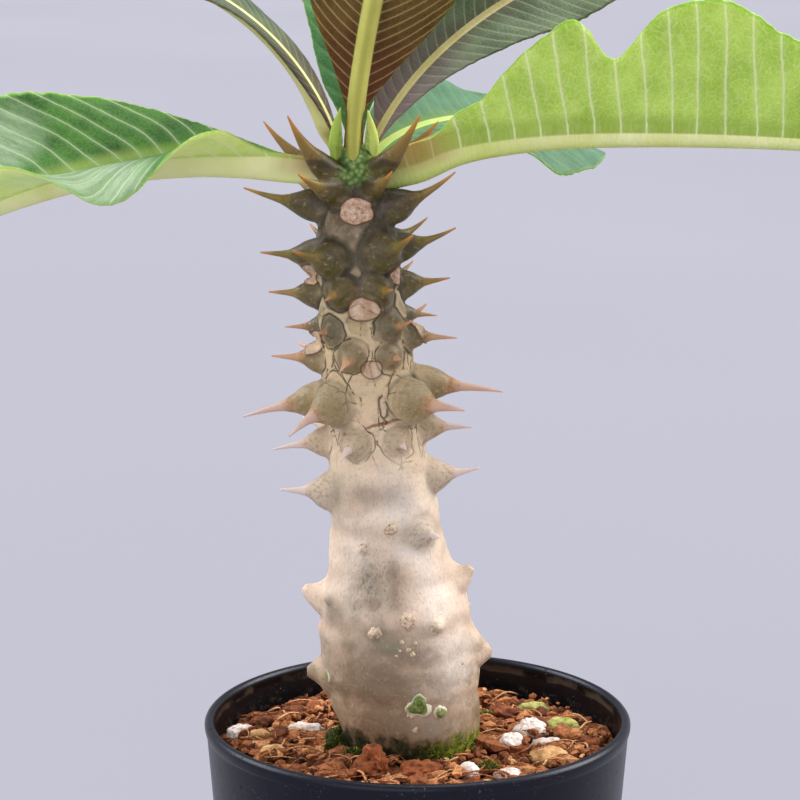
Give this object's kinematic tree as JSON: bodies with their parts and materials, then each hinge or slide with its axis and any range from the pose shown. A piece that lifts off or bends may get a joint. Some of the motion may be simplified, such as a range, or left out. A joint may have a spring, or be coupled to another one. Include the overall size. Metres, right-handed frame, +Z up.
{
  "type": "potted pachypodium",
  "caption": "Young spiny-stemmed succulent with a rosette of long waved leaves, rooted in bark and pumice in a round tapered nursery pot that stands on a flat base.",
  "frame": {"origin": "middle of the pot's flat underside, where the pot rests", "axes": "+Z up along the pot's axis, -Y towards the side that the picture shows as the front, +X to the right in the picture"},
  "size_m": [0.2732, 0.1332, 0.2971],
  "materials": {
    "pot_plastic": "satin slate-black moulded polypropylene with dust and water marks",
    "potting_mix": "coarse brown bark and coco fibre with pale pumice, tan stones and moss",
    "bark": "satin bark, pale cream below, tan and grey-green above, with brown spine tips",
    "leaf_bright": "matt yellow-green underside with pale veins",
    "leaf_green": "glossy deep green with pale veins",
    "leaf_young": "satin grey-green with a purple cast and a cream midrib",
    "leaf_maroon": "maroon underside with a yellow-green midrib and veins",
    "leaf_bud": "pale yellow-green bud leaf"
  },
  "bodies": {
    "root": {"pot": "pot_plastic", "soil": "potting_mix", "trunk": "bark", "leaf_right": "leaf_bright", "leaf_left": "leaf_green", "leaf_upper_left": "leaf_young", "leaf_front": "leaf_maroon", "leaf_upper_right": "leaf_young", "leaf_back_right": "leaf_green", "leaf_back": "leaf_green", "young_leaf_left": "leaf_bud", "young_leaf_right": "leaf_bud"}
  },
  "joints": []
}
